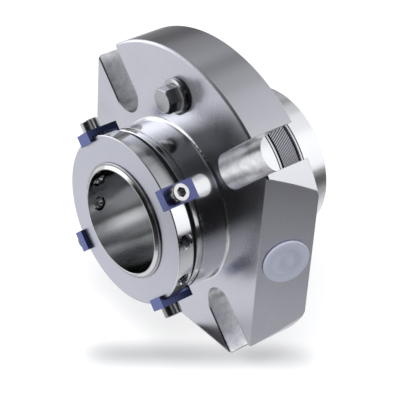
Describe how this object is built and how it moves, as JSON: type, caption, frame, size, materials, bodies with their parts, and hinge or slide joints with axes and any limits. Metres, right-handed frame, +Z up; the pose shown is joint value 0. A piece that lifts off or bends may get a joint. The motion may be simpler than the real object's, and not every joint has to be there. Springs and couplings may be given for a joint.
{
  "type": "double mechanical seal",
  "caption": "Cartridge double mechanical seal: slotted gland plate with a turned boss, through sleeve, clamp ring with setting clips, capped fluid ports and a grooved pump-side housing.",
  "frame": {"origin": "on the shaft axis, in the plane of the gland's mounting face", "axes": "+Y along the shaft towards the pump, -Y towards the clamp ring and the motor, +Z up with the gland's lower flat horizontal, +X to the right seen from the motor side"},
  "size_m": [0.1388, 0.0951, 0.1369],
  "materials": {
    "gland_steel": "fine machined stainless steel",
    "bright_steel": "turned and polished stainless steel",
    "sleeve_steel": "ground stainless steel",
    "fastener_steel": "stainless steel screws and pins",
    "dark_spring_steel": "oiled dark spring steel",
    "spring_wire": "drawn spring wire",
    "clip_blue": "satin blue",
    "elastomer": "smooth black elastomer",
    "gasket_sheet": "matt graphite filled sheet",
    "excluder_black": "matt black filled plastic",
    "carbon": "lapped carbon graphite",
    "hard_face": "lapped silicon carbide",
    "plug_white": "milky white moulded plastic"
  },
  "bodies": {
    "gland": {"gland_plate": "gland_steel", "gland_gasket": "gasket_sheet", "inboard_housing": "bright_steel", "housing_o_ring": "elastomer", "excluder_ring": "excluder_black", "antirotation_pins": "fastener_steel", "inboard_springs": "spring_wire", "outboard_springs": "spring_wire"},
    "inboard_float": {"inboard_follower": "fastener_steel", "inboard_seal_face": "carbon", "inboard_face_o_ring": "elastomer"},
    "outboard_float": {"outboard_follower": "fastener_steel", "outboard_seal_face": "carbon", "outboard_face_o_ring": "elastomer"},
    "rotor": {"sleeve": "sleeve_steel", "shaft_o_ring": "elastomer", "clamp_ring": "gland_steel", "snap_ring": "dark_spring_steel", "rotary_holder": "bright_steel", "drive_pins": "fastener_steel", "inboard_rotary_ring": "hard_face", "inboard_rotary_o_ring": "elastomer", "outboard_rotary_ring": "hard_face", "outboard_rotary_o_ring": "elastomer"},
    "vent": {"vent_plug": "fastener_steel", "vent_washer": "elastomer"},
    "port_plug_right": {"port_plug_in": "plug_white"},
    "port_plug_left": {"port_plug_out": "plug_white"},
    "set_screw_body_1": {"set_screw_1": "fastener_steel"},
    "set_screw_body_2": {"set_screw_2": "fastener_steel"},
    "set_screw_body_3": {"set_screw_3": "fastener_steel"},
    "set_screw_body_4": {"set_screw_4": "fastener_steel"},
    "clip_1": {"setting_clip_1": "clip_blue"},
    "clip_screw_body_1": {"clip_screw_1": "fastener_steel"},
    "clip_2": {"setting_clip_2": "clip_blue"},
    "clip_screw_body_2": {"clip_screw_2": "fastener_steel"},
    "clip_3": {"setting_clip_3": "clip_blue"},
    "clip_screw_body_3": {"clip_screw_3": "fastener_steel"},
    "clip_4": {"setting_clip_4": "clip_blue"},
    "clip_screw_body_4": {"clip_screw_4": "fastener_steel"}
  },
  "joints": [
    {"name": "rotor_spin", "type": "hinge", "parent": "gland", "child": "rotor", "pos_m": [0, 0, 0], "axis": [0, 1, 0], "continuous": true},
    {"name": "inboard_float_slide", "type": "slide", "parent": "gland", "child": "inboard_float", "axis": [0, -1, 0], "range_m": [0, 0.0015], "stiffness_N_per_m": 20000, "springref_m": -0.002, "deforming": ["inboard_springs"]},
    {"name": "outboard_float_slide", "type": "slide", "parent": "gland", "child": "outboard_float", "axis": [0, 1, 0], "range_m": [0, 0.0015], "stiffness_N_per_m": 20000, "springref_m": -0.002, "deforming": ["outboard_springs"]},
    {"name": "vent_plug_out", "type": "slide", "parent": "gland", "child": "vent", "axis": [0, -1, 0], "range_m": [0, 0.015]},
    {"name": "port_plug_right_out", "type": "slide", "parent": "gland", "child": "port_plug_right", "axis": [0.9563, -0.2924, 0], "range_m": [0, 0.015]},
    {"name": "port_plug_left_out", "type": "slide", "parent": "gland", "child": "port_plug_left", "axis": [-0.9563, -0.2924, 0], "range_m": [0, 0.015]},
    {"name": "set_screw_1_out", "type": "slide", "parent": "rotor", "child": "set_screw_body_1", "axis": [0.9659, 0, 0.2588], "range_m": [-0.0003, 0.016]},
    {"name": "set_screw_2_out", "type": "slide", "parent": "rotor", "child": "set_screw_body_2", "axis": [0.9659, 0, -0.2588], "range_m": [-0.0003, 0.016]},
    {"name": "set_screw_3_out", "type": "slide", "parent": "rotor", "child": "set_screw_body_3", "axis": [-0.9659, 0, 0.2588], "range_m": [-0.0003, 0.016]},
    {"name": "set_screw_4_out", "type": "slide", "parent": "rotor", "child": "set_screw_body_4", "axis": [-0.9659, 0, -0.2588], "range_m": [-0.0003, 0.016]},
    {"name": "clip_1_lift", "type": "slide", "parent": "rotor", "child": "clip_1", "axis": [0.7071, 0, 0.7071], "range_m": [0, 0.012]},
    {"name": "clip_screw_1_out", "type": "slide", "parent": "clip_1", "child": "clip_screw_body_1", "axis": [0.7071, 0, 0.7071], "range_m": [0, 0.012]},
    {"name": "clip_2_lift", "type": "slide", "parent": "rotor", "child": "clip_2", "axis": [-0.7071, 0, 0.7071], "range_m": [0, 0.012]},
    {"name": "clip_screw_2_out", "type": "slide", "parent": "clip_2", "child": "clip_screw_body_2", "axis": [-0.7071, 0, 0.7071], "range_m": [0, 0.012]},
    {"name": "clip_3_lift", "type": "slide", "parent": "rotor", "child": "clip_3", "axis": [-0.7071, 0, -0.7071], "range_m": [0, 0.012]},
    {"name": "clip_screw_3_out", "type": "slide", "parent": "clip_3", "child": "clip_screw_body_3", "axis": [-0.7071, 0, -0.7071], "range_m": [0, 0.012]},
    {"name": "clip_4_lift", "type": "slide", "parent": "rotor", "child": "clip_4", "axis": [0.7071, 0, -0.7071], "range_m": [0, 0.012]},
    {"name": "clip_screw_4_out", "type": "slide", "parent": "clip_4", "child": "clip_screw_body_4", "axis": [0.7071, 0, -0.7071], "range_m": [0, 0.012]}
  ]
}
